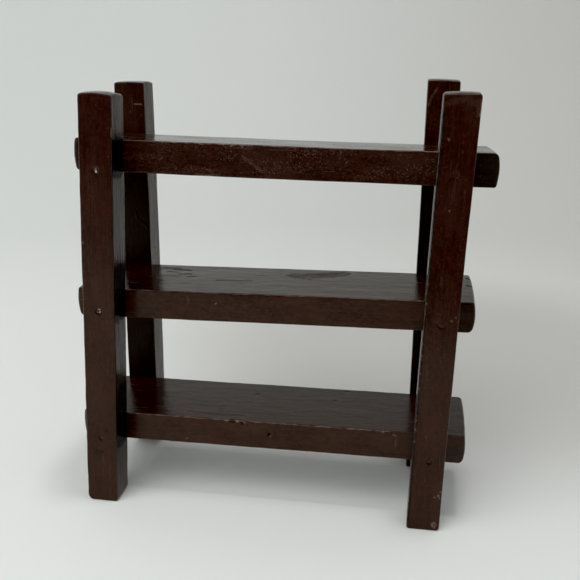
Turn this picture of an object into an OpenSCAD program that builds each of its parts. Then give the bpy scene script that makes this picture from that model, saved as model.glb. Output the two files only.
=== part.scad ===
// Miniature bookcase: three thick boards held between four square posts by round-headed nails.
// The posts stand outside the boards' front and rear edges, so each board's ends run past them.
// X runs left to right, Y front to rear and Z up, with the origin on the floor under the middle.

/* [Posts] */
// Width of each post, seen from the front: front left, front right, rear left, rear right
post_w = [12.4, 12.2, 12.6, 12.3]; // [10:0.1:14]
// Depth of each post, front to rear, in the same order
post_d = [12, 11, 12, 11]; // [9:0.5:14]
// Height of each post, in the same order
post_h = [160.7, 162, 163.3, 165.2]; // [150:0.1:175]
// Sideways place of each foot, in the same order
post_x = [-67.9, 60, -66.9, 59.5]; // [-70:0.1:70]
// Sideways lean of each post in degrees, in the same order: positive leans right
post_lean = [2.6, 1.4, 0.3, 0]; // [0:0.1:3]
// Radius of a post's long edges
post_edge_r = 0.8; // [0.4:0.1:1.5]
// Radius of the ball that rounds a post's top
post_crown_r = 40; // [16:1:60]

/* [Shelves] */
// Length of a board
shelf_l = 154.4; // [148:0.2:158]
// Depth of a board, front to rear
shelf_d = 36; // [30:0.5:44]
// Thickness of a board
shelf_t = 11.5; // [9:0.5:13]
// Height of each board's upper face at its middle: bottom, middle, top
shelf_z = [34.6, 87.6, 142]; // [30:0.1:145]
// Sideways offset of each board, in the same order
shelf_x = [-1.8, -1.8, 1.8]; // [-3:0.1:3]
// Tilt of each board in degrees, in the same order: positive raises the right end
shelf_tilt = [0.4, 0.8, -0.8]; // [-1:0.1:1]
// Radius of a board's end corners, seen from above
shelf_corner_r = 2.2; // [1.6:0.2:5]
// Radius of a board's upper and lower end edges
shelf_end_r = 1.8; // [1:0.1:3]
// Radius of a board's long edges
shelf_edge_r = 0.5; // [0.3:0.1:0.9]
// How far a board's end bows out between its corners, seen from above
shelf_bow = 0.6; // [0.4:0.1:1.5]

/* [Nails] */
// Length of a nail under its head
nail_l = 24; // [20:1:28]
// Radius of a nail's shank
nail_r = 0.6; // [0.5:0.05:0.8]
// Radius of a nail's head
nail_head_r = 1; // [0.9:0.05:1.3]
// How far a head sits below the post's face
nail_set = 0.3; // [0.1:0.1:0.6]
// How far the front left post's top nail sits below the board's middle
low_nail_drop = 3.5; // [0:0.5:4]

/* [Hidden] */
$fn = 48;

FRONT_LEFT = 0;
FRONT_RIGHT = 1;
REAR_LEFT = 2;
REAR_RIGHT = 3;
BOTTOM = 0;
MIDDLE = 1;
TOP = 2;

foot_waste = 2; // how far a post runs on below the floor before its foot is sawn flat
nail_head_t = 0.6;
nail_point_l = 1.6;
post_colour = [0.23, 0.09, 0.07];
shelf_colour = [0.27, 0.12, 0.09];
nail_colour = [0.5, 0.48, 0.46];

function is_front(post) = post == FRONT_LEFT || post == FRONT_RIGHT;
// -1 for a front post and 1 for a rear one: the way its nails' heads face along Y.
function outward(post) = is_front(post) ? -1 : 1;
function post_centre_y(post) = outward(post) * (shelf_d + post_d[post]) / 2;
function post_x_at(post, z) = post_x[post] + tan(post_lean[post]) * z;
function shelf_middle_z(shelf, x) =
    shelf_z[shelf] - shelf_t / 2 + tan(shelf_tilt[shelf]) * (x - shelf_x[shelf]);
function nail_drop(post, shelf) = post == FRONT_LEFT && shelf == TOP ? low_nail_drop : 0;
function nail_z(post, shelf) =
    shelf_middle_z(shelf, post_x_at(post, shelf_z[shelf])) - nail_drop(post, shelf);

// A rectangle with round corners, made of squares and true circles.
module rounded_rectangle(size, r) {
    square([size.x - 2 * r, size.y], center = true);
    square([size.x, size.y - 2 * r], center = true);
    for (side = [-1, 1], end = [-1, 1])
        translate([side * (size.x / 2 - r), end * (size.y / 2 - r)])
            circle(r = r);
}

// One nail lying along +Z, with its head's outer face at z = 0.
module nail() {
    shank_l = nail_l - nail_point_l;
    cylinder(r = nail_head_r, h = nail_head_t);
    cylinder(r = nail_r, h = nail_head_t + shank_l);
    translate([0, 0, nail_head_t + shank_l])
        cylinder(r1 = nail_r, r2 = nail_r / 4, h = nail_point_l);
}

// Puts its children where a post's nail through a shelf starts, with +Z along the nail.
module at_nail(post, shelf) {
    z = nail_z(post, shelf);
    face_y = outward(post) * (shelf_d / 2 + post_d[post] - nail_set);
    translate([post_x_at(post, z), face_y, z])
        rotate([outward(post) * 90, 0, 0])
            children();
}

module nails(post) {
    for (shelf = [BOTTOM, MIDDLE, TOP])
        at_nail(post, shelf)
            nail();
}

// The recess that each head sits in, from the head's outer face out past the post's face.
module head_recesses(post) {
    for (shelf = [BOTTOM, MIDDLE, TOP])
        at_nail(post, shelf)
            translate([0, 0, -2 * nail_set])
                cylinder(r = nail_head_r, h = 2 * nail_set);
}

// A post's square bar with its crowned top, standing on its own foot.
module post_bar(w, d, h) {
    intersection() {
        translate([0, 0, -foot_waste])
            linear_extrude(h + foot_waste)
                rounded_rectangle([w, d], post_edge_r);
        union() {
            translate([0, 0, h - post_crown_r])
                sphere(r = post_crown_r);
            translate([-w, -d, -2 * foot_waste])
                cube([2 * w, 2 * d, h - post_crown_r + 2 * foot_waste]);
        }
    }
}

// A leaning post with its foot sawn flat on the floor and its nail holes.
module post(which) {
    floor_size = 4 * post_w[which];
    color(post_colour)
        difference() {
            translate([post_x[which], post_centre_y(which), 0])
                rotate([0, post_lean[which], 0])
                    post_bar(post_w[which], post_d[which], post_h[which] / cos(post_lean[which]));
            translate([post_x[which] - floor_size / 2, post_centre_y(which) - floor_size / 2, -floor_size])
                cube(floor_size);
            nails(which);
            head_recesses(which);
        }
}

// A board with softened edges and rounded, bowed ends, about its own middle.
module board() {
    bow_r = (pow(shelf_d / 2, 2) + pow(shelf_bow, 2)) / (2 * shelf_bow);
    intersection() {
        linear_extrude(shelf_t, center = true)
            rounded_rectangle([shelf_l, shelf_d], shelf_corner_r);
        rotate([90, 0, 0])
            linear_extrude(2 * shelf_d, center = true)
                rounded_rectangle([shelf_l, shelf_t], shelf_end_r);
        rotate([90, 0, 90])
            linear_extrude(2 * shelf_l, center = true)
                rounded_rectangle([shelf_d, shelf_t], shelf_edge_r);
        for (end = [-1, 1])
            translate([end * (shelf_l / 2 - bow_r), 0, 0])
                cylinder(r = bow_r, h = 2 * shelf_t, center = true, $fn = 360);
    }
}

module shelf(which) {
    color(shelf_colour)
        difference() {
            translate([shelf_x[which], 0, shelf_z[which] - shelf_t / 2])
                rotate([0, -shelf_tilt[which], 0])
                    board();
            for (post = [FRONT_LEFT, FRONT_RIGHT, REAR_LEFT, REAR_RIGHT])
                at_nail(post, which)
                    nail();
        }
}

module nail_group(post) {
    color(nail_colour)
        nails(post);
}

post(FRONT_LEFT);  // front_left_post
post(FRONT_RIGHT);  // front_right_post
post(REAR_LEFT);  // rear_left_post
post(REAR_RIGHT);  // rear_right_post
shelf(BOTTOM);  // bottom_shelf
shelf(MIDDLE);  // middle_shelf
shelf(TOP);  // top_shelf
nail_group(FRONT_LEFT);  // front_left_nails
nail_group(FRONT_RIGHT);  // front_right_nails
nail_group(REAR_LEFT);  // rear_left_nails
nail_group(REAR_RIGHT);  // rear_right_nails
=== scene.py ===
"""Miniature bookcase: gloss-varnished boards nailed between four leaning square posts.

Each wooden CAD node is stood for by a dense closed skin: softened arrises, crowned or bowed ends,
faces that wander as hand-planed wood does, nail dimples, chips, pin holes and cracks. Each nail
node is stood for by turned nails with hammered heads. Shapes are worked out in millimetres in a
bar's own axes (along, across, thick) and then placed on the CAD node's own axes in metres.
"""

import itertools
import math

import bpy
import numpy as np
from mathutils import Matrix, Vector


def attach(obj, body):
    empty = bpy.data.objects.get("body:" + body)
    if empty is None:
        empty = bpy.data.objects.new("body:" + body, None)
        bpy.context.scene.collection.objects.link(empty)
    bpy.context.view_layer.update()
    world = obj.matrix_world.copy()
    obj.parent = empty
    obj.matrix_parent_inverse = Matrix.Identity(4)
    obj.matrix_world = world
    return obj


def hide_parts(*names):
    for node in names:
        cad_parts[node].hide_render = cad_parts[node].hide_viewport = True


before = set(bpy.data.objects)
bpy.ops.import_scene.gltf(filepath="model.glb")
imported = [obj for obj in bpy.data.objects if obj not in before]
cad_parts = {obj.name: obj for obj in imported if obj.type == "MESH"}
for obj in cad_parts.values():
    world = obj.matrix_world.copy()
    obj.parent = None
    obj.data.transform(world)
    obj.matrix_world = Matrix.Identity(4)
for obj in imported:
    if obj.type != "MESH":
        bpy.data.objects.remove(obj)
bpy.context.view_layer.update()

MM = 0.001
BODY = "root"
POSTS = ("front_left_post", "front_right_post", "rear_left_post", "rear_right_post")
SHELVES = ("bottom_shelf", "middle_shelf", "top_shelf")

# ---------------------------------------------------------------- measuring the CAD nodes

SLICE = 3 * MM  # depth of the slices at a bar's two ends that give its direction
NAIL_GAP = 5 * MM  # nails of one group are further apart than this


def node_points(node):
    """A CAD node's vertices, in metres."""
    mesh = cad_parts[node].data
    flat = np.empty(len(mesh.vertices) * 3, np.float32)
    mesh.vertices.foreach_get("co", flat)
    return flat.reshape(-1, 3).astype(float)


def box_middle(points):
    return (points.min(axis=0) + points.max(axis=0)) / 2


class Bar:
    """Where a straight bar lies: its middle, its three axes and its size along them."""

    def __init__(self, node, upright):
        points = node_points(node)
        long_way = 2 if upright else 0
        place = points[:, long_way]
        first = box_middle(points[place < place.min() + SLICE])
        last = box_middle(points[place > place.max() - SLICE])
        along = last - first
        along[1] = 0
        along /= np.linalg.norm(along)
        rear = np.array((0.0, 1.0, 0.0))
        side = np.cross(rear, along)
        # Both sets are right-handed: a post runs up, right and rear, a board right, rear and up.
        self.axes = np.array((along, side, rear) if upright else (along, rear, -side))
        spread = (points - first) @ self.axes.T
        self.size = (spread.max(axis=0) - spread.min(axis=0)) / MM
        self.middle = first + ((spread.max(axis=0) + spread.min(axis=0)) / 2) @ self.axes
        if upright:
            # A leaning post's foot is sawn on a slant, so its length counts from the foot's middle.
            self.size[0] = spread[:, 0].max() / MM
            self.middle = first + along * spread[:, 0].max() / 2

    def place(self, local):
        """Puts an (n, 3) array of the bar's own millimetres where the bar is, in metres."""
        return self.middle + (local * MM) @ self.axes

    def local(self, point):
        """A point of the scene in the bar's own millimetres."""
        return (self.axes @ (np.asarray(point) - self.middle)) / MM

    def lean(self):
        """How far a post leans to the right, in radians."""
        along = self.axes[0]
        return math.atan2(along[0], along[2])


def nail_boxes(node):
    """Lowest and highest corner of each nail in a group, lowest nail first."""
    points = node_points(node)
    points = points[np.argsort(points[:, 2])]
    splits = np.nonzero(np.diff(points[:, 2]) > NAIL_GAP)[0] + 1
    return [(part.min(axis=0), part.max(axis=0)) for part in np.split(points, splits)]


# ---------------------------------------------------------------- mesh tools

NOISE_TABLE = 32  # cells along each side of the block of random values that noise repeats
TINY = 1e-9  # keeps a division from failing


def smooth(low, high, value):
    """0 at low, 1 at high and a smooth step between them."""
    t = np.clip((value - low) / (high - low), 0, 1)
    return t * t * (3 - 2 * t)


def noise(points, cell, seed):
    """A smooth random field between -1 and 1 whose features are about one cell across."""
    table = np.random.default_rng(seed).uniform(-1, 1, (NOISE_TABLE,) * 3)
    scaled = points / np.asarray(cell, float)
    base = np.floor(scaled).astype(int)
    part = scaled - base
    part = part * part * (3 - 2 * part)
    total = np.zeros(len(points))
    for corner in itertools.product((0, 1), repeat=3):
        i, j, k = ((base + corner) % NOISE_TABLE).T
        total += np.prod(np.where(corner, part, 1 - part), axis=1) * table[i, j, k]
    return total


def layers(points, waves, seed):
    """A sum of noises, from (amount, cell) for each; their seeds count on from the first."""
    return sum(amount * noise(points, cell, seed + i) for i, (amount, cell) in enumerate(waves))


def cuts(half, step, ends, fine):
    """Places of the grid lines along one axis of a bar, from -half to half.

    ends are the distances from either end of the lines that follow its rounding, and fine
    holds (place, reach, closer step) for the stretches that need closer lines.
    """
    low, high = -half + ends[-1], half - ends[-1]
    inner = [low]
    while inner[-1] < high:
        closer = [fine_step for place, reach, fine_step in fine if abs(inner[-1] - place) < reach]
        inner.append(inner[-1] + min(closer + [step]))
    inner = np.array(inner)
    inner = low + (inner - low) * (high - low) / (inner[-1] - low)
    ends = np.array(ends[:-1])
    return np.concatenate((-half + ends, inner, (half - ends)[::-1]))


def box_skin(lines):
    """Grid points and outward quads of a box's six faces, cut along three sets of lines."""
    inside = np.zeros([len(line) for line in lines], bool)
    inside[1:-1, 1:-1, 1:-1] = True
    number = np.full(inside.shape, -1)
    number[~inside] = np.arange(np.count_nonzero(~inside))
    where = np.nonzero(~inside)
    points = np.stack([line[index] for line, index in zip(lines, where)], axis=1)
    quads = []
    for axis, end in itertools.product(range(3), (0, -1)):
        side = np.take(number, end, axis=axis)
        quad = np.stack((side[:-1, :-1], side[1:, :-1], side[1:, 1:], side[:-1, 1:]), axis=-1)
        quad = quad.reshape(-1, 4)
        quads.append(quad[:, ::-1] if (end == 0) != (axis == 1) else quad)
    return points, np.concatenate(quads)


def point_normals(points, quads):
    """The skin's outward direction at each point."""
    a, b, c, d = (points[quads[:, i]] for i in range(4))
    face = np.cross(c - a, d - b)
    normals = np.zeros_like(points)
    for i in range(4):
        for axis in range(3):
            normals[:, axis] += np.bincount(quads[:, i], face[:, axis], len(points))
    return normals / np.linalg.norm(normals, axis=1, keepdims=True)


def distance_to_path(points, path):
    """Distance of each point to a line through the path's points, or to its only point."""
    path = np.asarray(path, float).reshape(-1, 3)
    if len(path) == 1:
        return np.linalg.norm(points - path[0], axis=1)
    nearest = np.full(len(points), np.inf)
    for start, end in zip(path[:-1], path[1:]):
        run = end - start
        t = np.clip((points - start) @ run / (run @ run), 0, 1)
        nearest = np.minimum(nearest, np.linalg.norm(points - start - t[:, None] * run, axis=1))
    return nearest


def ring_quads(first, rings, sides, flipped):
    """Quads that join neighbouring rings of points, which are numbered ring by ring from first."""
    quads = []
    for near in range(first, first + (rings - 1) * sides, sides):
        far = near + sides
        for i in range(sides):
            j = (i + 1) % sides
            quad = [near + i, near + j, far + j, far + i]
            quads.append(quad[::-1] if flipped else quad)
    return quads


def make_mesh(name, points, faces, values=None):
    """A smooth-shaded object with one float or vector attribute for each entry of values."""
    mesh = bpy.data.meshes.new(name)
    mesh.from_pydata(points.tolist(), [], faces if isinstance(faces, list) else faces.tolist())
    mesh.shade_smooth()
    for key, value in (values or {}).items():
        vector = value.ndim == 2
        attribute = mesh.attributes.new(key, "FLOAT_VECTOR" if vector else "FLOAT", "POINT")
        attribute.data.foreach_set("vector" if vector else "value", value.astype(np.float32).ravel())
    thing = bpy.data.objects.new(name, mesh)
    bpy.context.scene.collection.objects.link(thing)
    return thing


# ---------------------------------------------------------------- the wooden skins

EDGE_STEPS = (0.0, 0.17, 0.34, 0.5, 0.8)  # lines beside a long edge, in millimetres from it
END_REACH = 3.0  # the longest rounding at a bar's end, in millimetres
END_LINES = 11
BOW_FADE = 7.0  # how far an end's bow reaches into the bar
EDGE_MAP_REACH = 4.0  # the edge attribute holds distances up to this
END_EDGE_OFFSET = 0.35  # how much further than they are the end edges count as, in that attribute
# Noises as (amount, cell in millimetres).
EDGE_WOBBLE = ((0.35, (9, 60, 60)), (0.2, (2.5, 60, 60)))  # as shares of an edge's radius
FACE_WANDER = ((0.09, (34, 13, 13)), (0.045, (16, 4.5, 4.5)))  # in millimetres
RAGGED = ((0.22, (1.1, 0.8, 0.8)),)  # of a mark's outline, as a share of its radius
RIPPLE_CELL = (11, 1.6, 1.6)  # of the fine waves that the grain leaves under the varnish
FULL_EFFECT = 0.5  # a mark's colours are full where it presses in by this share of its depth
FACES_AWAY, FACES_ALONG = 0.3, 0.8  # a mark with facing fades between these cosines
GRAIN_SHIFT = 400  # each bar's pattern is cut from its own place in the noise, this far off at most
NAIL_REACH = 2.2  # half the width of the stretch with closer grid lines round a nail
NAIL_STEP = 0.2  # between those lines
DIMPLE_FLOOR = 0.42  # depth of the dimple under a nail's head
DIMPLE_WALL = (0.95, 1.12)  # inner and outer radius of the step down to that floor
DIMPLE_RIM = (0.9, 1.65)  # inner and outer radius of the slope round a head
DIMPLE_SLOPE = 0.3  # depth of that slope where no varnish fills it
FILLED = 0.6  # the share of that depth that a full fill takes away


class End:
    """Shape of one end of a bar: corner radii on each side, and how far its edges fall back.

    skew is how much further the end runs out on the far side of the across axis than on the near
    side, and lift how far the whole end is drawn back (or runs on where it is negative).
    """

    def __init__(self, across_r, thick_r, across_bow=0.0, thick_bow=0.0, skew=0.0, lift=0.0):
        self.across_r = across_r
        self.thick_r = thick_r
        self.across_bow = across_bow
        self.thick_bow = thick_bow
        self.skew = skew
        self.lift = lift


class Mark:
    """A dent, scratch, chip or worn stretch along a path, in a bar's own millimetres.

    depth pushes the surface in (or out where it is negative). bare shows raw wood, worn lets the
    shader wear the edges through there, dull takes the gloss away and grime blackens and takes most
    of the reflection away; in corners and on faces that little light reaches it is painted shade.
    A mark with facing stays on the faces that look that way.
    """

    def __init__(self, path, radius, depth=0.0, bare=0.0, worn=0.0, dull=0.0, grime=0.0, facing=None):
        self.path = path
        self.radius = radius
        self.depth = depth
        self.amounts = {"bare": bare, "worn": worn, "dull": dull, "grime": grime}
        self.facing = facing


class Form:
    """How a whole bar departs from straight, sharp and flat, in millimetres, and how thick its pale
    specks lie, which are dirt and painted glints.

    edge_r is the radius of its long edges, ripple the height of its fine waves, bend how far its
    middle bends along its across and thick axes, rise how much further along the thick axis its
    far side lies than its near side, and swell how much thicker it is than its CAD node.
    """

    def __init__(self, edge_r, ripple, dust_and_glints, bend=(0.0, 0.0), rise=0.0, swell=0.0):
        self.edge_r = edge_r
        self.ripple = ripple
        self.dust_and_glints = dust_and_glints
        self.bend = bend
        self.rise = rise
        self.swell = swell


def round_section(points, half, radius):
    """Rounds a bar's four long edges, and its end faces' corners with them."""
    _, across, thick = half
    share = np.maximum(np.abs(points[:, 1]) / across, np.abs(points[:, 2]) / thick)
    share = np.maximum(share, TINY)
    section = points[:, 1:] / share[:, None]
    flat = [np.clip(section[:, i], radius - half[i + 1], half[i + 1] - radius) for i in (0, 1)]
    core = np.stack(flat, axis=1)
    out = section - core
    length = np.linalg.norm(out, axis=1)
    rounded = core + out * (radius / np.maximum(length, TINY))[:, None]
    points[:, 1:] = rounded * share[:, None]


def fall(distance, radius):
    """How far a quarter-round of this radius falls back at a distance from the end."""
    t = np.clip(radius - distance, 0, radius)
    return radius - np.sqrt(np.maximum(radius * radius - t * t, 0))


def round_end(points, grid, half, sign, end):
    """Rounds the edges round one end of a bar and bows the end face out between them."""
    from_end = half[0] - sign * grid[:, 0]
    for axis, radii in ((1, end.across_r), (2, end.thick_r)):
        radius = np.where(grid[:, axis] < 0, radii[0], radii[1])
        points[:, axis] *= 1 - fall(from_end, radius) / half[axis]
    across, thick = grid[:, 1] / half[1], grid[:, 2] / half[2]
    back = end.lift + end.across_bow * across**2 + end.thick_bow * thick**2
    back -= end.skew * across / 2
    points[:, 0] -= sign * back * (1 - smooth(0, BOW_FADE, from_end))


def edge_distance(grid, half):
    """Distance of each point to the nearest edge; the well rounded end edges count as further."""
    to_faces = np.asarray(half) - np.abs(grid)
    to_faces[:, 0] += END_EDGE_OFFSET
    to_faces = np.sort(to_faces, axis=1)
    return np.minimum(to_faces[:, 1], EDGE_MAP_REACH)


def bar_grid(half, step, cross_step, fine):
    """The grid that a bar's skin is shaped from, closer where its edges, ends and marks need it."""
    turn = np.linspace(0, math.pi / 2, END_LINES)
    end_cuts = END_REACH * (1 - np.cos(turn))
    lines = [
        cuts(half[0], step, end_cuts, fine[0]),
        cuts(half[1], cross_step, EDGE_STEPS, fine[1]),
        cuts(half[2], cross_step, EDGE_STEPS, fine[2]),
    ]
    return box_skin(lines)


def lay_marks(marks, grid, normals, seed):
    """How deep the marks press each point in, and how bare, worn, dull and dark with grime and painted
    shade they leave it.
    """
    depth = np.zeros(len(grid))
    values = {key: np.zeros(len(grid)) for key in ("bare", "worn", "dull", "grime")}
    wobble = layers(grid, RAGGED, seed)
    for mark in marks:
        reach = distance_to_path(grid, mark.path) / mark.radius + wobble
        weight = np.where(reach < 1, (1 - np.clip(reach, 0, 1) ** 2) ** 2, 0)
        if mark.facing is not None:
            weight = weight * smooth(FACES_AWAY, FACES_ALONG, normals @ np.asarray(mark.facing))
        depth += mark.depth * weight
        for key, amount in mark.amounts.items():
            values[key] = np.maximum(values[key], amount * smooth(0, FULL_EFFECT, weight))
    return depth, values


def bar_skin(bar, steps, ends, marks, fine, seed, form):
    """The shaped surface of a bar in its own millimetres: points, quads and attribute values.

    steps are the grid's steps along and across the bar, and form is a Form.
    """
    half = bar.size / 2
    grid, quads = bar_grid(half, *steps, fine)
    points = grid.copy()
    round_section(points, half, form.edge_r * (1 + layers(grid, EDGE_WOBBLE, seed)))
    for sign, end in zip((-1, 1), ends):
        round_end(points, grid, half, sign, end)
    normals = point_normals(points, quads)
    lift = layers(points, FACE_WANDER + ((form.ripple, RIPPLE_CELL),), seed + 2)
    depth, values = lay_marks(marks, grid, normals, seed + 5)
    points += normals * (lift - depth)[:, None]
    belly = 1 - (grid[:, 0] / half[0]) ** 2
    points[:, 2] *= 1 + form.swell / bar.size[2]
    points[:, 1] += form.bend[0] * belly
    points[:, 2] += form.bend[1] * belly + form.rise * grid[:, 1] / bar.size[1]
    values["edge"] = edge_distance(grid, half)
    values["dust_and_glints"] = np.full(len(points), form.dust_and_glints)
    values["grain"] = grid + np.random.default_rng(seed).uniform(-GRAIN_SHIFT, GRAIN_SHIFT, 3)
    return points, quads, values


def sink_nails(points, bar, heads, fills):
    """Presses a dimple round each nail's head; fills says how far varnish has filled each."""
    for head, fill in zip(heads, fills):
        centre = bar.local(head)
        outward = np.sign(centre[2])
        across = np.hypot(points[:, 0] - centre[0], points[:, 1] - centre[1])
        on_face = points[:, 2] * outward > 0
        well = DIMPLE_FLOOR * (1 - smooth(*DIMPLE_WALL, across))
        slope = DIMPLE_SLOPE * (1 - FILLED * fill) * (1 - smooth(*DIMPLE_RIM, across))
        points[:, 2] -= np.where(on_face, outward * np.maximum(well, slope), 0)
    return points


def nail_heads(post):
    """Middle of each nail head's outer face, lowest first, in metres."""
    heads = []
    for low, high in nail_boxes(post.replace("_post", "_nails")):
        y = low[1] if "front" in post else high[1]
        heads.append(((low[0] + high[0]) / 2, y, (low[2] + high[2]) / 2))
    return heads


# ---------------------------------------------------------------- marks on each piece

# A post's own axes run up from its middle, right and rear; heights here are above its foot.
# A board's own axes run right, rear and up from its middle.
# Marks lie where the photograph shows them, in millimetres; those on rear faces are guesses.

FRONT, REAR, LEFT, RIGHT = (0, 0, -1), (0, 0, 1), (0, -1, 0), (0, 1, 0)  # on a post's own axes


def on(face, spots, radius, **effects):
    """One entry of the tables below: a mark of this radius along these spots of a face."""
    return face, spots, dict(radius=radius, **effects)


def post_marks(bar, entries):
    """Marks on a post, whose spots are (height, place across the face)."""
    foot = -bar.size[0] / 2
    marks = []
    for face, spots, options in entries:
        path = []
        for height, across in spots:
            on_face = np.array(face) * bar.size / 2
            beside = np.array((0, 0, across) if face in (LEFT, RIGHT) else (0, across, 0))
            path.append(on_face + beside + (foot + height, 0, 0))
        marks.append(Mark(path, **options))
    return marks


def corner_shade(low, high):
    """An entry for painted shade: black between two heights in the corner of a post's right side and a
    board.
    """
    path = [(low, -3), (low, 3), (high, 3), (high, -3), (low, -3)]
    return on(RIGHT, path, 5, grime=1.0, facing=RIGHT)


POST_ENTRIES = {
    "front_left_post": [
        on(FRONT, [(21.9, -2.8), (22.3, 0.9)], 0.42, depth=0.22, grime=0.8),
        on(FRONT, [(20.9, -2.2), (21.0, 0.2)], 0.35, depth=0.12, grime=0.5),
        on(FRONT, [(23.9, -0.9)], 0.7, depth=0.1, dull=0.7),
        on(FRONT, [(115, -5.9), (117, -5.8)], 0.6, depth=0.2),
        on(FRONT, [(107, -5.8)], 0.7, depth=0.2, bare=0.35),
        on(FRONT, [(146, 5.7), (148.5, 5.7)], 0.9, worn=0.8),
        on(FRONT, [(139, 4.8)], 0.5, depth=0.06, bare=0.15),
        on(FRONT, [(159, -5), (160, 0), (159, 5)], 1.5, worn=0.6),
        on(FRONT, [(0, -5.8), (1.4, 5.8)], 1.2, worn=0.55),
        # Painted shade: black in the corners beside each board and dimmer over the whole right side,
        # which little light reaches.
        corner_shade(26, 46),
        corner_shade(79, 95),
        corner_shade(134, 142),
        on(RIGHT, [(30, 0), (146, 0)], 12, grime=0.42, facing=RIGHT),
    ],
    "front_right_post": [
        on(FRONT, [(70, -5.9), (110, -5.9), (158, -5.9)], 1.1, worn=0.5),
        on(FRONT, [(6, -5.9), (70, -5.9)], 1.1, worn=0.3),
        # Painted shade: the left side and its front edge are darkened and their reflection dimmed.
        on(LEFT, [(4, 0), (156, 0)], 12, grime=0.5, facing=LEFT),
        on(FRONT, [(4, -6), (156, -6)], 1.2, grime=0.65, dull=0.6),
        *[
            on(FRONT, [(height, -5.7)], 0.42, depth=0.1, bare=0.8)
            for height in (37.0, 41.8, 45.6, 47.2, 58.3, 63.9, 69.4, 70.8, 75.6, 90.2, 97.5)
        ],
        on(FRONT, [(2.5, 4.1)], 1.7, depth=0.32, bare=0.3, dull=0.8),
        on(FRONT, [(1.9, 3.5), (2.9, 3.3), (3.5, 4.1)], 0.45, bare=0.75),
        on(FRONT, [(1.5, 4.5)], 0.45, bare=0.6),
        on(FRONT, [(2.8, 4.4)], 0.6, grime=0.5),
        on(FRONT, [(14.4, 3.4)], 0.5, depth=0.08, bare=0.6),
        on(FRONT, [(15.2, 4.8)], 0.6, depth=0.1, bare=0.7),
        on(FRONT, [(16.9, 5.6)], 0.5, depth=0.1, bare=0.7),
        on(FRONT, [(14.2, 5.3)], 0.45, depth=0.06, bare=0.5),
        on(FRONT, [(84.5, 3.5)], 0.65, depth=0.08, bare=0.3),
        on(FRONT, [(84.2, 5.4), (88.5, 5.2)], 0.7, worn=1.0),
        on(FRONT, [(85.8, 4.9)], 0.4, depth=0.05, bare=0.5),
        on(FRONT, [(123.3, -0.8)], 0.45, depth=0.05, bare=0.3),
        on(FRONT, [(146.9, -3.3)], 0.6, depth=0.06, bare=0.45),
        on(FRONT, [(130, 3.6)], 0.4, depth=0.05, bare=0.2),
        on(FRONT, [(158.4, -5), (160.2, 0), (158.6, 5)], 1.5, worn=0.8, bare=0.05),
        on(FRONT, [(155, 5.4), (159.5, 5.4)], 1.1, worn=0.9, bare=0.08),
    ],
    "rear_left_post": [
        on(FRONT, [(154.2, 2.2), (154.4, 5.0)], 0.35, depth=0.08, bare=0.55),
        on(FRONT, [(150, 4.8)], 0.35, depth=0.05, bare=0.25),
        on(FRONT, [(151.5, 0.2)], 0.35, depth=0.05, bare=0.25),
        on(FRONT, [(110, 0.4), (107.4, 0.9), (105.7, 2.6), (104.2, 4.8), (102, 5.8)], 0.55, depth=-0.26),
        # Painted shade on the front face and right side between the boards, where little light reaches.
        on(FRONT, [(12, 0), (40, -1), (80, 1), (128, 0)], 12, grime=0.76, facing=FRONT),
        on(RIGHT, [(20, 0), (122, 0)], 12, grime=0.25, facing=RIGHT),
        on(REAR, [(0, 6.2), (162, 6.2)], 1.5, grime=0.75),
        on(REAR, [(120, -2), (96, 1)], 1.1, depth=-0.1),
        on(REAR, [(40, 3), (34, 3.6)], 0.5, depth=0.1, bare=0.4),
    ],
    "rear_right_post": [
        on(FRONT, [(155.5, -5.4), (159.4, -4.2), (162, -2.4)], 0.5, depth=0.03, bare=0.2, dull=0.5),
        on(FRONT, [(150, -2.5)], 0.4, depth=0.05, bare=0.15),
        # Painted shade on the front face between the boards, where little light reaches.
        on(FRONT, [(12, 0), (40, 1), (80, -1), (128, 0)], 12, grime=0.75, facing=FRONT),
        on(REAR, [(71, 2), (64, 2.6)], 0.45, depth=0.08, bare=0.4),
        on(REAR, [(8, -4.5)], 1.3, depth=0.25, bare=0.7, dull=0.6),
    ],
}

EDGE, TOP = "front edge", "top"  # the two faces of a board that have marks
TOWARDS_FRONT, TOWARDS_LEFT = (0, -1, 0), (-1, 0, 0)  # on a board's own axes


def board_marks(bar, entries):
    """Marks on a board, whose spots are (along, up) on its front edge or (along, rear) on top."""
    marks = []
    for face, spots, options in entries:
        if face == EDGE:
            path = [(along, -bar.size[1] / 2, up) for along, up in spots]
        else:
            path = [(along, rear, bar.size[2] / 2) for along, rear in spots]
        marks.append(Mark(path, **options))
    return marks


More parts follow.
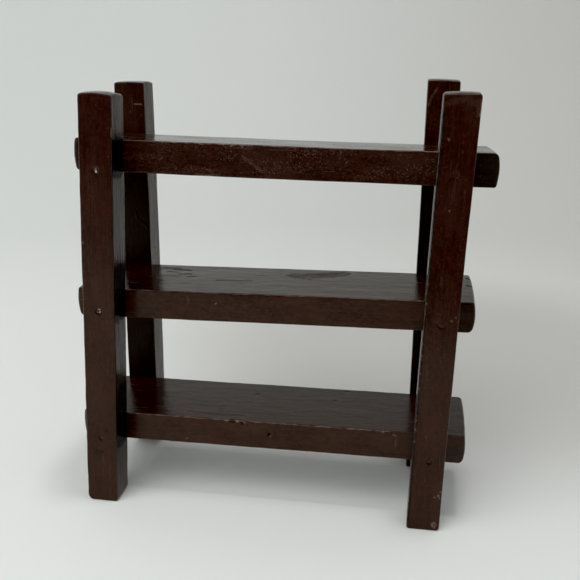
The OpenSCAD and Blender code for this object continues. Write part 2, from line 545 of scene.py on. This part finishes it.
BOARD_ENTRIES = {
    "bottom_shelf": [
        on(EDGE, [(0.2, 0.6)], 0.72, depth=1.5, dull=0.6),
        on(EDGE, [(0.7, -0.2)], 0.55, bare=0.2),
        on(EDGE, [(-57, 5.3), (-20, 5.4), (10, 5.4), (47, 5.4)], 1.3, worn=0.6),
        on(EDGE, [(-15.4, 5.4), (-13.8, 5.2)], 0.75, depth=0.35, grime=0.7),
        on(EDGE, [(-10.8, 4.7)], 0.8, depth=0.4, grime=0.8),
        on(EDGE, [(-8.6, 3.9)], 0.6, depth=0.2, grime=0.9),
        on(EDGE, [(-12.5, 5.4)], 0.6, bare=1.0),
        on(EDGE, [(-16.4, 5.5), (-17.5, 5.5)], 0.4, bare=0.7),
        on(EDGE, [(-9.6, 5.0)], 0.35, bare=0.8),
        on(EDGE, [(48.8, 4.6), (50.2, 3.8)], 0.4, depth=0.05, bare=0.4),
        on(EDGE, [(50.0, 2.4), (50.0, -0.4)], 0.4, depth=0.03, bare=0.22),
        on(EDGE, [(45.0, 5.2)], 0.6, bare=0.55),
        on(EDGE, [(-33.6, -3.8)], 0.45, bare=0.4),
        on(TOP, [(-9.4, 6.8)], 1.5, depth=0.2, dull=0.5),
        on(TOP, [(24.3, 5.5)], 1.3, depth=0.16, dull=0.4),
        on(TOP, [(28.5, 15.4)], 1.1, depth=0.2, dull=0.5),
        on(TOP, [(-34, -13.4), (-20, -14.2), (-11, -14.0)], 1.0, depth=0.05, dull=0.75),
        on(TOP, [(-31, -7.4), (-20, -6.4)], 0.9, depth=0.05, dull=0.7),
        on(TOP, [(-11, -9.2)], 0.8, dull=0.6),
        on(TOP, [(-8, -2.0)], 0.8, dull=0.5),
    ],
    "middle_shelf": [
        on(EDGE, [(-20.4, 1.5)], 0.42, depth=-0.05, bare=1.0),
        on(EDGE, [(-31.4, 4.0), (-31.3, 1.6)], 0.3, depth=0.04, bare=0.15),
        on(EDGE, [(-13.4, 5.3)], 0.7, depth=0.3, grime=0.7),
        on(EDGE, [(-10.6, 5.4)], 0.6, depth=0.25, grime=0.7),
        on(EDGE, [(29.5, -5.4), (33, -5.4)], 0.6, worn=0.9),
        on(EDGE, [(-56, 5.4), (56, 5.4)], 1.1, worn=0.4),
        on(EDGE, [(-34, -5.2), (-28, -5.3)], 0.6, worn=0.8),
        on(TOP, [(6.0, 8.4), (12, 6.4)], 4.6, dull=1.0, bare=0.05),
        on(TOP, [(12, 8.8), (20, 10.2)], 5.2, dull=1.0, bare=0.05),
        on(TOP, [(20, 11.4), (25.5, 13.2)], 4.4, dull=0.95, bare=0.05),
        on(TOP, [(-50, 13), (-44, 12)], 2.2, dull=0.7, grime=0.4),
        on(TOP, [(-47, 8), (-43, 7.4)], 1.6, dull=0.6, grime=0.4),
        on(TOP, [(-45, 11.4), (-38.5, 10.4)], 1.5, depth=0.08, dull=0.9, grime=0.35),
        on(TOP, [(-41, 4.6), (-37, 5.4)], 1.3, depth=0.06, dull=0.8, grime=0.3),
        on(TOP, [(-36.5, 1.4), (-33.5, 1.8)], 1.2, depth=0.06, dull=0.8, grime=0.3),
        on(TOP, [(-24, -2.2), (-10, -1.4)], 1.0, depth=0.05, dull=0.8, grime=0.25),
        on(TOP, [(-37, -7.6), (-33, -7.7)], 0.7, depth=0.04, dull=0.6),
        on(TOP, [(-22, 16.8), (4, 16.9)], 0.9, depth=0.05, dull=0.7),
        # Painted shadow of the front right post on the front of the right end; the whole left end face is
        # darkened.
        on(EDGE, [(71, 0), (77, 0)], 9, grime=0.4, facing=TOWARDS_FRONT),
        on(EDGE, [(-77, 0)], 16, grime=0.35, facing=TOWARDS_LEFT),
        on(TOP, [(74.6, 2.8), (76.6, 1.9)], 0.45, depth=0.7, dull=1.0),
        on(TOP, [(75.4, 12.4), (76.8, 11.0)], 0.45, depth=0.7, dull=1.0),
    ],
    "top_shelf": [
        on(EDGE, [(-14.7, 5.4)], 0.8, depth=0.3, grime=0.7),
        on(EDGE, [(-12.0, 5.2)], 0.6, depth=0.2, grime=0.7),
        on(EDGE, [(-20.5, 4.7)], 0.6, depth=0.15, grime=0.5),
        on(EDGE, [(-19.5, 5.2), (-10, 5.3)], 1.5, depth=0.1, worn=1.0, dull=0.6),
        on(EDGE, [(-30, 5.5), (-24, 5.5)], 1.0, depth=0.06, worn=0.9),
        on(EDGE, [(-30, -5.3), (-26, -5.5), (-22, -5.3)], 0.9, worn=1.0, bare=0.12),
        on(EDGE, [(-26.5, -3.4), (-24.0, -3.9)], 0.5, bare=0.22),
        *[
            on(EDGE, [(along, up)], 0.42, bare=0.9)
            for along, up in ((-16.4, 5.5), (-13.5, 5.5), (-12.9, 4.8), (-17.3, 5.1))
        ],
        on(EDGE, [(-13.1, 2.0), (-6.3, -2.8)], 0.55, depth=0.03, bare=0.13),
        on(EDGE, [(24, 1.2), (25, 1.3)], 0.3, bare=0.35),
        on(EDGE, [(22.0, 4.6), (22.2, 2.4)], 0.4, depth=0.04, bare=0.12),
        on(EDGE, [(-43.4, -0.6), (-42.6, 0.3)], 0.4, bare=0.22),
        on(EDGE, [(-58, 5.4), (60, 5.4)], 1.2, worn=0.6),
        # Painted shadow of the front right post on the front of the right end; the whole left end face is
        # darkened.
        on(EDGE, [(71, 0), (77, 0)], 9, grime=0.7, facing=TOWARDS_FRONT),
        on(EDGE, [(-77, 0)], 16, grime=0.3, facing=TOWARDS_LEFT),
        on(TOP, [(-40, 4), (-25, 4.6)], 1.0, depth=0.05, dull=0.5),
        on(TOP, [(20, -6), (44, -5)], 1.0, depth=0.05, dull=0.5),
    ],
}

# ---------------------------------------------------------------- materials


class Nodes:
    """Short calls for building one material's node tree."""

    def __init__(self, name):
        self.material = bpy.data.materials.new(name)
        self.material.use_nodes = True
        self.tree = self.material.node_tree
        self.shader = self.tree.nodes["Principled BSDF"]

    def add(self, kind, inputs, output=0, **settings):
        made = self.tree.nodes.new(kind)
        for key, value in settings.items():
            setattr(made, key, value)
        for key, value in inputs.items():
            self.put(made.inputs[key], value)
        return made.outputs[output]

    def put(self, socket, value):
        if isinstance(value, bpy.types.NodeSocket):
            self.tree.links.new(value, socket)
        else:
            socket.default_value = value

    def attribute(self, name, vector=False):
        return self.add("ShaderNodeAttribute", {}, "Vector" if vector else "Fac", attribute_name=name)

    def scaled(self, vector, scale):
        return self.add("ShaderNodeVectorMath", {0: vector, 1: scale}, operation="MULTIPLY")

    def noise(self, vector, stretch, detail=3.0, rough=0.5, twist=0.0):
        """Noise whose features are 1 / stretch millimetres long along each of the bar's axes."""
        inputs = {"Vector": self.scaled(vector, stretch), "Scale": 1.0, "Detail": detail}
        inputs["Roughness"] = rough
        inputs["Distortion"] = twist
        return self.add("ShaderNodeTexNoise", inputs)

    def spread(self, value, low, high, to_low=0.0, to_high=1.0):
        """Value taken smoothly from low..high to to_low..to_high."""
        inputs = {"Value": value, "From Min": low, "From Max": high, "To Min": to_low, "To Max": to_high}
        return self.add("ShaderNodeMapRange", inputs, interpolation_type="SMOOTHSTEP")

    def math(self, operation, a, b=0.0, clamp=False):
        return self.add("ShaderNodeMath", {0: a, 1: b}, operation=operation, use_clamp=clamp)

    def multiply_add(self, a, b, c):
        return self.add("ShaderNodeMath", {0: a, 1: b, 2: c}, operation="MULTIPLY_ADD")

    def mix(self, share, a, b):
        inputs = {0: share, 6: a, 7: b}
        return self.add("ShaderNodeMix", inputs, 2, data_type="RGBA")

    def bump(self, height, distance, under=None):
        inputs = {"Height": height, "Distance": distance, "Strength": 1.0}
        if under is not None:
            inputs["Normal"] = under
        return self.add("ShaderNodeBump", inputs)

    def set(self, **values):
        for key, value in values.items():
            self.put(self.shader.inputs[key.replace("_", " ")], value)


VARNISH_IOR = 1.31
VARNISH_TINT = (0.95, 0.88, 0.69, 1)  # of what it mirrors straight on
RAW_WOOD = (0.25, 0.165, 0.12, 1)
WORN_WOOD = (0.27, 0.205, 0.18, 1)
# pale specks of dirt in the varnish, partly painted glints
NIB_AND_GLINT_SPECK = (0.118, 0.082, 0.066, 1)
PORE = (0.005, 0.002, 0.0015, 1)
GRIME_AND_SHADE_COLOUR = (0.008, 0.0075, 0.0065, 1)  # what grime and painted shade turn the wood to


def stained_wood(n, grain, blotch, cloud, dark, deep, warm):
    """Streaks and blotches of dark and deep colour, warmer in clouds, with black pores."""
    fibre = n.noise(grain, (0.045, 0.9, 0.9), 5, 0.6)
    streaks = n.multiply_add(fibre, 0.3, n.math("MULTIPLY", blotch, 0.7))
    body = n.mix(n.spread(streaks, 0.36, 0.64), dark, deep)
    body = n.mix(n.math("MULTIPLY", n.spread(cloud, 0.42, 0.68), 0.55), body, warm)
    pores = n.spread(n.noise(grain, (0.16, 2.6, 2.6), 2), 0.60, 0.70)
    return n.mix(n.math("MULTIPLY", pores, 0.32), body, PORE)


def add_nibs_and_glints(n, body, grain, grit, dust_and_glints):
    """Pale specks of dirt caught in the varnish, partly painted glints off its tiny bumps, thicker in
    some places than in others.
    """
    thick = n.spread(n.noise(grain, (0.07, 0.25, 0.25), 3), 0.38, 0.60, 0.22, 1.0)
    nibs_and_glints = n.spread(n.multiply_add(dust_and_glints, 0.06, grit), 0.59, 0.80)
    nibs_and_glints = n.math("MULTIPLY", nibs_and_glints, n.math("MULTIPLY", thick, n.math("MINIMUM", dust_and_glints, 1.0)))
    return n.mix(nibs_and_glints, body, NIB_AND_GLINT_SPECK)


def rub_edges(n, body, grain):
    """Edges rub through in a broken line, most where the mesh says they are worn."""
    breaks = n.noise(grain, (0.30, 1.5, 1.5), 5, 0.72)
    worn = n.attribute("worn")
    reach = n.math("MULTIPLY", n.multiply_add(worn, 0.42, 0.10), n.spread(breaks, 0.40, 0.64))
    rubbed = n.spread(n.math("SUBTRACT", reach, n.attribute("edge")), -0.14, 0.12)
    return n.mix(n.math("MULTIPLY", rubbed, n.multiply_add(worn, 0.50, 0.20)), body, WORN_WOOD)


def varnish_roughness(n, grain, blotch, cloud, bare):
    """Gloss, with rubbed or missed spots: thin dashes with the grain, dull patches, bare wood."""
    dashes = n.spread(n.noise(grain, (0.055, 0.75, 0.75), 3, 0.55), 0.63, 0.70)
    dull = n.math("MULTIPLY", n.attribute("dull"), n.spread(blotch, 0.32, 0.60, 0.35, 1.0))
    matt = n.math("MAXIMUM", n.math("MULTIPLY", dashes, 0.7), dull)
    matt = n.math("MAXIMUM", matt, bare, clamp=True)
    return n.multiply_add(matt, 0.40, n.spread(cloud, 0.35, 0.65, 0.11, 0.19))


def varnish_relief(n, grain, grit, dust_and_glints, ridge):
    """Ridges of the grain under the varnish, then its slow flow, its orange peel and its grit."""
    ridges = n.bump(n.noise(grain, (0.09, 1.1, 1.1), 4, 0.6), ridge)
    flow = n.bump(n.noise(grain, (0.17, 0.32, 0.32), 3), 0.11 * MM, ridges)
    peel = n.bump(n.noise(grain, (0.9, 1.3, 1.3), 4, 0.65), 0.045 * MM, flow)
    return n.bump(n.math("MULTIPLY", grit, n.multiply_add(dust_and_glints, 0.8, 0.4)), 0.03 * MM, peel)


def varnished_wood(name, dark, deep, warm, ridge):
    """Thin dark gloss varnish over close-grained wood, worn through at the edges."""
    n = Nodes(name)
    grain = n.attribute("grain", vector=True)
    dust_and_glints = n.attribute("dust_and_glints")
    grime = n.attribute("grime")
    cloud = n.noise(grain, (0.05, 0.11, 0.11), 3, 0.55, 0.6)
    grit = n.noise(grain, (2.1, 2.3, 2.3), 4, 0.62)
    blotch = n.noise(grain, (0.55, 0.85, 0.85), 5, 0.68, 0.4)
    chipped = n.spread(n.noise(grain, (1.3, 1.5, 1.5), 4, 0.7), 0.30, 0.62, 0.25, 1.0)
    bare = n.math("MULTIPLY", n.attribute("bare"), chipped)

    body = stained_wood(n, grain, blotch, cloud, dark, deep, warm)
    body = add_nibs_and_glints(n, body, grain, grit, dust_and_glints)
    # grime and painted shade turn the wood black
    body = n.mix(grime, body, GRIME_AND_SHADE_COLOUR)
    body = rub_edges(n, body, grain)
    body = n.mix(bare, body, RAW_WOOD)
    rough = varnish_roughness(n, grain, blotch, cloud, bare)
    skin = varnish_relief(n, grain, grit, dust_and_glints, ridge)
    n.set(Base_Color=body, Roughness=rough, Normal=skin, IOR=VARNISH_IOR, Specular_Tint=VARNISH_TINT)
    # grime and painted shade also take most of the reflection away
    n.set(Specular_IOR_Level=n.spread(grime, 0.0, 1.0, 0.5, 0.04))
    return n.material


BRIGHT_STEEL = (0.62, 0.60, 0.57, 1)
RUST = (0.20, 0.12, 0.08, 1)
VARNISHED_STEEL = (0.030, 0.007, 0.005, 1)


def nail_steel():
    """Steel nail: bright where the hammer left it bare, in a streak that is in part a painted highlight,
    varnish-brown where it is covered.
    """
    n = Nodes("nail_steel")
    place = n.attribute("grain", vector=True)
    patch = n.noise(place, (1.6, 1.6, 1.6), 3, 0.6)
    shows = n.spread(n.math("ADD", patch, n.attribute("bare")), 0.98, 1.12)
    rust = n.spread(n.noise(place, (2.5, 2.5, 2.5), 4, 0.65), 0.5, 0.7)
    steel = n.mix(n.math("MULTIPLY", rust, 0.5), BRIGHT_STEEL, RUST)
    colour = n.mix(shows, VARNISHED_STEEL, steel)
    rough = n.spread(patch, 0.3, 0.7, 0.2, 0.38)
    dents = n.bump(n.noise(place, (1.1, 1.1, 1.1), 3), 0.10 * MM)
    n.set(Base_Color=colour, Metallic=shows, Roughness=rough, Normal=dents, IOR=VARNISH_IOR)
    return n.material


PALE_PAPER = (0.865, 0.885, 0.875, 1)
# painted shade: the paper towards the right
RIGHT_SHADE_PAPER = (0.655, 0.64, 0.615, 1)
# painted shadow of the bookcase
SHADED_PAPER = (0.56, 0.555, 0.535, 1)
SHADE_MIDDLE = (0.07, 0.18)  # middle of the painted shadow, right of and behind the bookcase's middle, in metres
SHADE_SCALE = (4.6, 5.6, 0)  # one over its half widths


def sweep_paper():
    """Plain matt paper with painted shade where little light comes: darker to the right, and a painted
    shadow right of and behind the bookcase.
    """
    n = Nodes("sweep_paper")
    place = n.add("ShaderNodeTexCoord", {}, "Object")
    sideways = n.add("ShaderNodeSeparateXYZ", {0: place}, "X")
    rearward = n.add("ShaderNodeSeparateXYZ", {0: place}, "Y")
    # painted shade, darker towards the right
    right = n.math("MULTIPLY", n.spread(sideways, -0.42, 0.55), n.spread(rearward, -0.15, 0.12))
    # painted shadow of the bookcase, right of and behind it
    back_to_shade = (-SHADE_MIDDLE[0], -SHADE_MIDDLE[1], 0)
    moved = n.add("ShaderNodeVectorMath", {0: place, 1: back_to_shade}, operation="ADD")
    scaled = n.scaled(moved, SHADE_SCALE)
    apart = n.add("ShaderNodeVectorMath", {0: scaled}, "Value", operation="LENGTH")
    colour = n.mix(right, PALE_PAPER, RIGHT_SHADE_PAPER)
    colour = n.mix(n.spread(apart, 0.35, 1.1, 0.85, 0.0), colour, SHADED_PAPER)
    n.set(Base_Color=colour, Roughness=0.9)
    return n.material


POST_WOOD = varnished_wood(
    "post_wood",
    dark=(0.0115, 0.0034, 0.0023, 1),
    deep=(0.0295, 0.0071, 0.0045, 1),
    warm=(0.033, 0.0105, 0.0066, 1),
    ridge=0.13 * MM,
)
SHELF_WOOD = varnished_wood(
    "shelf_wood",
    dark=(0.012, 0.0039, 0.0026, 1),
    deep=(0.0315, 0.0096, 0.0060, 1),
    warm=(0.036, 0.0136, 0.0083, 1),
    ridge=0.035 * MM,
)
NAIL_STEEL = nail_steel()

# ---------------------------------------------------------------- making the pieces


def finish_piece(thing, material, node):
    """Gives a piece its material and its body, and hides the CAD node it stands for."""
    thing.data.materials.append(material)
    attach(thing, BODY)
    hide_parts(node)
    return thing


# Foot and top of each post. The rear left post stands a little short, on a worn foot.
POST_ENDS = {
    "front_left_post": (
        End(across_r=(2.7, 1.3), thick_r=(0.6, 0.5)),
        End(across_r=(1.0, 1.3), thick_r=(0.7, 0.8), across_bow=0.45, thick_bow=0.45),
    ),
    "front_right_post": (
        End(across_r=(0.9, 1.5), thick_r=(0.5, 0.5)),
        End(across_r=(0.9, 1.1), thick_r=(1.1, 0.9), across_bow=0.22, thick_bow=0.4, skew=0.25),
    ),
    "rear_left_post": (
        End(across_r=(0.6, 0.6), thick_r=(2.4, 0.6), lift=2.3),
        End(across_r=(0.9, 0.9), thick_r=(0.6, 0.8), across_bow=0.2, thick_bow=0.35, skew=0.2),
    ),
    "rear_right_post": (
        End(across_r=(0.5, 0.8), thick_r=(0.6, 0.6)),
        End(across_r=(0.6, 0.9), thick_r=(0.6, 0.8), across_bow=0.15, thick_bow=0.4, skew=-0.3),
    ),
}
# How far each post's middle bends to the right, in millimetres.
POST_BEND = {
    "front_left_post": 0.0,
    "front_right_post": -0.25,
    "rear_left_post": 0.25,
    "rear_right_post": -0.22,
}
# How far varnish fills the dimple round each nail's head, lowest nail first.
FILLS = {
    "front_left_post": (0.7, 0.1, 0.1),
    "front_right_post": (0.6, 0.6, 1.0),
    "rear_left_post": (0.7, 0.5, 0.8),
    "rear_right_post": (0.6, 0.8, 0.5),
}
POST_STEPS = (0.5, 0.42)  # of the grid along and across a post, in millimetres
POST_EDGE_R, POST_RIPPLE, POST_DUST_AND_GLINTS = 0.52, 0.03, 0.5


def make_post(node, seed):
    """One post's skin, with its foot on the floor and its nail dimples."""
    bar = Bar(node, upright=True)
    heads = nail_heads(node)
    spots = [bar.local(head) for head in heads]
    up_fine = [(spot[0], NAIL_REACH, NAIL_STEP) for spot in spots]
    across_fine = [(spot[1], NAIL_REACH, NAIL_STEP) for spot in spots]
    marks = post_marks(bar, POST_ENTRIES[node])
    fine = (up_fine, across_fine, ())
    form = Form(POST_EDGE_R, POST_RIPPLE, POST_DUST_AND_GLINTS, bend=(POST_BEND[node], 0.0))
    points, quads, values = bar_skin(bar, POST_STEPS, POST_ENDS[node], marks, fine, seed, form)
    # The foot is sawn flat on the floor, so it slants across a leaning post.
    from_top = 0.5 - points[:, 0] / bar.size[0]
    points[:, 0] += points[:, 1] * math.tan(bar.lean()) * np.clip(from_top, 0, 1)
    points = sink_nails(points, bar, heads, FILLS[node])
    placed = bar.place(points)
    placed[:, 2] = np.maximum(placed[:, 2], 0)
    post = make_mesh("varnished_" + node, placed, quads, values)
    return finish_piece(post, POST_WOOD, node)


# Left and right end of each board.
BOARD_ENDS = {
    "bottom_shelf": (
        End(across_r=(1.6, 2.2), thick_r=(2.2, 1.2), across_bow=0.35, thick_bow=0.4, lift=-0.7),
        End(across_r=(1.4, 2.0), thick_r=(2.4, 0.9), across_bow=0.4, thick_bow=0.35, skew=0.7),
    ),
    "middle_shelf": (
        End(across_r=(1.7, 2.2), thick_r=(2.8, 1.3), across_bow=0.4, thick_bow=0.45, lift=0.4),
        End(across_r=(1.5, 1.5), thick_r=(2.4, 1.0), across_bow=0.35, thick_bow=0.45, skew=0.6, lift=0.3),
    ),
    "top_shelf": (
        End(across_r=(1.6, 2.2), thick_r=(1.7, 1.5), across_bow=0.45, thick_bow=0.5, lift=-0.5),
        End(across_r=(1.3, 2.0), thick_r=(1.0, 2.2), across_bow=0.3, thick_bow=0.4, skew=0.3),
    ),
}
BOARD_STEPS = (0.55, 0.5)  # of the grid along and across a board, in millimetres
BOARD_EDGE_R, BOARD_RIPPLE = 0.45, 0.012
BOARD_FORMS = {
    "bottom_shelf": Form(BOARD_EDGE_R, BOARD_RIPPLE, dust_and_glints=0.45, rise=0.35),
    "middle_shelf": Form(BOARD_EDGE_R, BOARD_RIPPLE, dust_and_glints=0.4, rise=0.8),
    "top_shelf": Form(BOARD_EDGE_R, BOARD_RIPPLE, dust_and_glints=1.05, bend=(0.0, -0.3), rise=-1.1, swell=0.35),
}
DENT_R, DENT_DEPTH = 1.0, 0.1  # a short mark under this radius and over this depth is a dent
DENT_REACH, DENT_STEP = 1.2, 0.24  # half the width of the stretch with closer lines, and their step


def is_dent(mark):
    """Whether a mark is too small and deep for the grid's plain steps."""
    return mark.radius < DENT_R and len(mark.path) < 3 and abs(mark.depth) > DENT_DEPTH


def make_board(node, seed):
    """One board's skin, with closer grid lines at its dents."""
    bar = Bar(node, upright=False)
    marks = board_marks(bar, BOARD_ENTRIES[node])
    dents = [np.mean(mark.path, axis=0) for mark in marks if is_dent(mark)]
    fine = [[(dent[axis], DENT_REACH, DENT_STEP) for dent in dents] for axis in range(3)]
    form = BOARD_FORMS[node]
    points, quads, values = bar_skin(bar, BOARD_STEPS, BOARD_ENDS[node], marks, fine, seed, form)
    board = make_mesh("varnished_" + node, bar.place(points), quads, values)
    return finish_piece(board, SHELF_WOOD, node)


# Bare metal on each nail's head, lowest nail first, and how much of it is a curved streak laid where the
# head shows a glint, in part a painted highlight.
HEADS = {
    "front_left_post": ((0.35, 0.3), (0.58, 0.2), (0.8, 0.6)),
    "front_right_post": ((0.3, 0.3), (0.3, 0.3), (0.1, 0.3)),
    "rear_left_post": ((0.3, 0.5), (0.4, 0.3), (0.2, 0.3)),
    "rear_right_post": ((0.35, 0.3), (0.25, 0.3), (0.4, 0.5)),
}
STREAK_SIDE = 0.05  # where the streak crosses the head, to the right of its middle
STREAK_BEND = 0.25
STREAK_EDGE = (0.18, 0.5)  # how far from its own middle the streak begins and ends to fade
NAIL_SIDES = 48
HEAD_THICK = 0.6
HEAD_CURVE = 0.16  # height of the hammered head's dome, and radius of the lip below it
HEAD_BEVEL, HEAD_FILLET = 0.08, 0.1  # of the small curve from the head's underside to the shank
SHANK_SHARE = 0.6  # a shank's radius as a share of its head's
GRIP_RINGS = 8  # grooves round the shank
GRIP_START = 0.6  # from the head's underside to the first of them
GRIP_SPACING, GRIP_WIDTH, GRIP_DEPTH = 0.45, 0.3, 0.06
POINT_LENGTH = 1.6
POINT_BELLY = 0.55  # a point's radius halfway down, as a share of the shank's
POINT_TIP_R = 0.05
NAIL_GRAIN_SHIFT = 17.3  # between the patterns of two groups of nails


def nail_profile(head_r, length):
    """(radius, depth below the head's outer face) along a nail, in millimetres."""
    shank = head_r * SHANK_SHARE
    dome_turns = np.linspace(0.02, math.pi / 2, 9)
    lip_turns = np.linspace(0.3, math.pi / 2, 4)
    dome = [(head_r * math.sin(t), HEAD_CURVE * (1 - math.cos(t))) for t in dome_turns]
    lip = [(head_r - HEAD_CURVE * (1 - math.cos(t)), HEAD_CURVE * (1 + math.sin(t))) for t in lip_turns]
    under = [(shank + HEAD_BEVEL, HEAD_THICK - HEAD_BEVEL), (shank, HEAD_THICK + HEAD_FILLET)]
    grip = []
    for ring in range(GRIP_RINGS):
        start = HEAD_THICK + GRIP_START + ring * GRIP_SPACING
        groove = (shank - GRIP_DEPTH, start + GRIP_WIDTH / 2)
        grip += [(shank, start), groove, (shank, start + GRIP_WIDTH)]
    point = [
        (shank, length - POINT_LENGTH),
        (shank * POINT_BELLY, length - POINT_LENGTH / 2),
        (POINT_TIP_R, length),
    ]
    return dome + lip + under + grip + point


def turned_nail(box, outward):
    """Points of one nail in metres, ring by ring from its head, where its CAD solid lies."""
    low, high = box
    middle = (low + high) / 2
    face_y = low[1] if outward < 0 else high[1]
    points = []
    for radius, depth in nail_profile((high[0] - low[0]) / 2 / MM, (high[1] - low[1]) / MM):
        for turn in np.arange(NAIL_SIDES) * 2 * math.pi / NAIL_SIDES:
            x = middle[0] + radius * MM * math.cos(turn)
            z = middle[2] + radius * MM * math.sin(turn)
            points.append((x, face_y - outward * depth * MM, z))
    return np.array(points)


def nail_faces(first, count, outward):
    """Faces of one nail whose count points are numbered from first, with a cap at either end."""
    flipped = outward < 0
    head = list(range(first, first + NAIL_SIDES))
    tip = list(range(first + count - NAIL_SIDES, first + count))
    caps = [head, tip[::-1]] if flipped else [head[::-1], tip]
    return ring_quads(first, count // NAIL_SIDES, NAIL_SIDES, flipped) + caps


def bare_metal_and_glint(points, box, amount, glint):
    """How bare a nail is at each point: glint is the share of that which lies in the streak, which is
    laid where the head shows a glint and is in part a painted highlight.
    """
    middle = (box[0] + box[1]) / 2
    beside, _, above = ((points - middle) / MM).T
    off_streak = np.abs(beside - STREAK_SIDE - STREAK_BEND * above * above)
    streak = 1 - smooth(*STREAK_EDGE, off_streak)
    return amount * (1 - glint + glint * streak)


def make_nails(post, seed):
    """One object with the three nails of a post."""
    node = post.replace("_post", "_nails")
    outward = -1 if "front" in post else 1
    points, faces, bare = [], [], []
    for box, (amount, glint) in zip(nail_boxes(node), HEADS[post]):
        nail = turned_nail(box, outward)
        first = sum(len(earlier) for earlier in points)
        faces += nail_faces(first, len(nail), outward)
        bare.append(bare_metal_and_glint(nail, box, amount, glint))
        points.append(nail)
    points = np.concatenate(points)
    values = {"bare": np.concatenate(bare), "grain": points / MM + seed * NAIL_GRAIN_SHIFT}
    nails = make_mesh("steel_" + node, points, faces, values)
    return finish_piece(nails, NAIL_STEEL, node)


POST_SEED, BOARD_SEED, SEED_STEP = 100, 300, 10  # a bar draws from several seeds in a row
for number, name in enumerate(POSTS):
    make_post(name, seed=POST_SEED + SEED_STEP * number)
    make_nails(name, seed=number)
for number, name in enumerate(SHELVES):
    make_board(name, seed=BOARD_SEED + SEED_STEP * number)

# ---------------------------------------------------------------- studio

SWEEP_INNER_RINGS = (0.02, 0.3)  # on the flat floor, in metres like all sizes of the studio
SWEEP_FLOOR_R = 0.55
SWEEP_CURVE_R = 0.70
SWEEP_CURVE_RINGS = 24
SWEEP_TOP = 1.1
SWEEP_SIDES = 96
CARD_LEFT, CARD_RIGHT = (-0.9, -0.85), (0.3, -0.105)  # the dark card's two ends, seen from above
CARD_LOW, CARD_TOP = 0.005, 1.0
CARD_COLOUR = (0.01, 0.01, 0.01, 1)
WINDOW = dict(place=(-0.36, -0.62, 0.95), size=1.0, watts=6.1, colour=(1.0, 1.0, 0.985))
CEILING_LAMP = dict(place=(0.12, -0.018, 1.30), size=0.13, watts=2.8, colour=(1.0, 0.985, 0.96))
AIR_COLOUR, AIR_STRENGTH = (0.97, 0.99, 1.0, 1), 0.37
CAMERA_PLACE = (0.04765, -0.28312, 0.16911)
CAMERA_TURN = (73.485, -0.42, 8.963)  # about X, Y and Z, in degrees
CAMERA_LENS, SENSOR_WIDTH = 46.62, 36.0  # in millimetres
CAMERA_CLIP = (0.01, 20)
BLACK_LEVEL = 0.0034  # the photograph's shadows are a little deeper than a plain view's


def make_sweep():
    """A round pale floor that curves up into a wall all round, so no view shows a horizon."""
    curve = [
        (SWEEP_FLOOR_R + SWEEP_CURVE_R * math.sin(t), SWEEP_CURVE_R * (1 - math.cos(t)))
        for t in np.linspace(0, math.pi / 2, SWEEP_CURVE_RINGS)
    ]
    floor = [(radius, 0.0) for radius in SWEEP_INNER_RINGS]
    profile = floor + curve + [(SWEEP_FLOOR_R + SWEEP_CURVE_R, SWEEP_TOP)]
    points = []
    for radius, height in profile:
        for turn in np.arange(SWEEP_SIDES) * 2 * math.pi / SWEEP_SIDES:
            points.append((radius * math.cos(turn), radius * math.sin(turn), height))
    middle = list(range(SWEEP_SIDES))
    faces = [middle] + ring_quads(0, len(profile), SWEEP_SIDES, flipped=True)
    sweep = make_mesh("sweep", np.array(points), faces)
    sweep.data.materials.append(sweep_paper())


def make_dark_card():
    """Whoever looks at the bookcase stands in front of it: only its gloss mirrors this dark card."""
    n = Nodes("dark_card")
    n.set(Base_Color=CARD_COLOUR, Roughness=1.0)
    below = [(*CARD_LEFT, CARD_LOW), (*CARD_RIGHT, CARD_LOW)]
    above = [(*CARD_RIGHT, CARD_TOP), (*CARD_LEFT, CARD_TOP)]
    card = make_mesh("dark_card", np.array(below + above), [[0, 1, 2, 3]])
    card.data.materials.append(n.material)
    card.visible_camera = False
    card.visible_diffuse = False
    card.visible_shadow = False


def area_light(name, place, size, watts, colour):
    """A round soft lamp that points at the middle of the floor."""
    data = bpy.data.lights.new(name, "AREA")
    data.shape = "DISK"
    data.size = size
    data.energy = watts
    data.color = colour
    light = bpy.data.objects.new(name, data)
    light.location = place
    light.rotation_euler = Vector(place).to_track_quat("Z", "Y").to_euler()
    light.visible_camera = False
    bpy.context.scene.collection.objects.link(light)


def make_lights():
    area_light("window", **WINDOW)
    area_light("ceiling_lamp", **CEILING_LAMP)
    world = bpy.data.worlds.new("studio_air")
    world.use_nodes = True
    background = world.node_tree.nodes["Background"]
    background.inputs["Color"].default_value = AIR_COLOUR
    background.inputs["Strength"].default_value = AIR_STRENGTH
    bpy.context.scene.world = world


def make_camera():
    data = bpy.data.cameras.new("camera")
    data.sensor_width = SENSOR_WIDTH
    data.lens = CAMERA_LENS
    data.clip_start, data.clip_end = CAMERA_CLIP
    camera = bpy.data.objects.new("camera", data)
    camera.location = CAMERA_PLACE
    camera.rotation_euler = [math.radians(angle) for angle in CAMERA_TURN]
    bpy.context.scene.collection.objects.link(camera)
    bpy.context.scene.camera = camera


def set_tones():
    """A plain view with slightly deeper blacks."""
    view = bpy.context.scene.view_settings
    view.view_transform = "Standard"
    view.use_curve_mapping = True
    view.curve_mapping.black_level = (BLACK_LEVEL,) * 3
    view.curve_mapping.update()


make_camera()
make_sweep()
make_dark_card()
make_lights()
set_tones()
